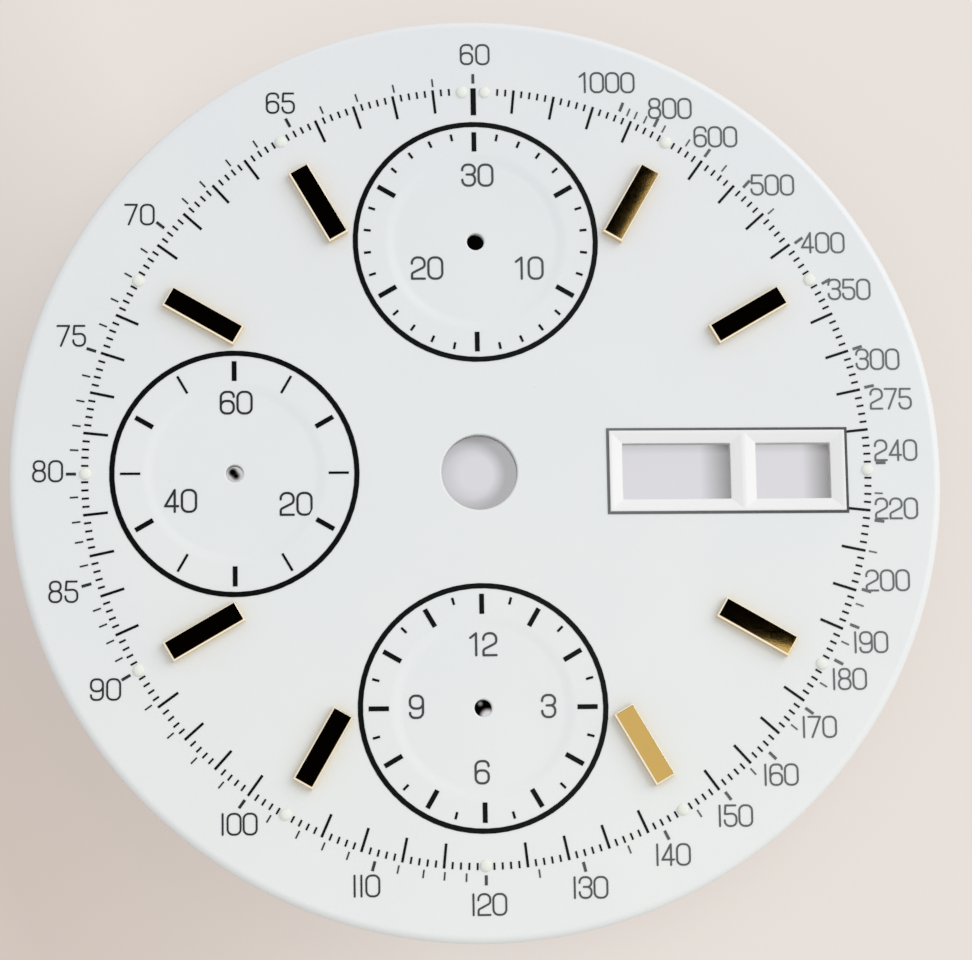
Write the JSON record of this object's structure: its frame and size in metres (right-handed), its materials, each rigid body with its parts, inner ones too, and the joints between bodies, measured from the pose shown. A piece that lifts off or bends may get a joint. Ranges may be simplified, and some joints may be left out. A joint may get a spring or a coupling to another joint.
{
  "type": "watch dial",
  "caption": "Round white chronograph dial with sunken counters, a day and date window frame, gold baton hour markers, luminous pips, a printed tachymeter scale and dial feet.",
  "frame": {"origin": "on the axis of the centre hole, in the plane of the plate's back face, which seats on the movement", "axes": "+Z out of the printed face, +Y to 12 o'clock, +X to 3 o'clock"},
  "size_m": [0.0295, 0.0294, 0.0028],
  "materials": {
    "plate_brass": "fine turned, bare on the back",
    "white_lacquer": "gloss white lacquer",
    "frame_lacquer": "gloss white lacquer on a stamped frame",
    "marker_gold": "polished gold plate",
    "luminous_paint": "matt pale green luminous paint",
    "foot_copper": "drawn copper",
    "black_ink": "black printing ink"
  },
  "bodies": {
    "root": {"dial_plate": "plate_brass", "lacquer_coat": "white_lacquer", "day_date_frame": "frame_lacquer", "hour_marker_01": "marker_gold", "hour_marker_02": "marker_gold", "hour_marker_04": "marker_gold", "hour_marker_05": "marker_gold", "hour_marker_07": "marker_gold", "hour_marker_08": "marker_gold", "hour_marker_10": "marker_gold", "hour_marker_11": "marker_gold", "luminous_pip_12_left": "luminous_paint", "luminous_pip_12_right": "luminous_paint", "luminous_pip_01": "luminous_paint", "luminous_pip_02": "luminous_paint", "luminous_pip_03": "luminous_paint", "luminous_pip_04": "luminous_paint", "luminous_pip_05": "luminous_paint", "luminous_pip_06": "luminous_paint", "luminous_pip_07": "luminous_paint", "luminous_pip_08": "luminous_paint", "luminous_pip_09": "luminous_paint", "luminous_pip_10": "luminous_paint", "luminous_pip_11": "luminous_paint", "dial_foot_right": "foot_copper", "dial_foot_left": "foot_copper", "minute_track_print": "black_ink", "noon_bar_print": "black_ink", "tachymeter_print": "black_ink", "frame_outline_print": "black_ink", "minutes_ring_print": "black_ink", "minutes_ticks_print": "black_ink", "minutes_numerals_print": "black_ink", "seconds_ring_print": "black_ink", "seconds_ticks_print": "black_ink", "seconds_numerals_print": "black_ink", "hours_ring_print": "black_ink", "hours_ticks_print": "black_ink", "hours_numerals_print": "black_ink"}
  },
  "joints": []
}
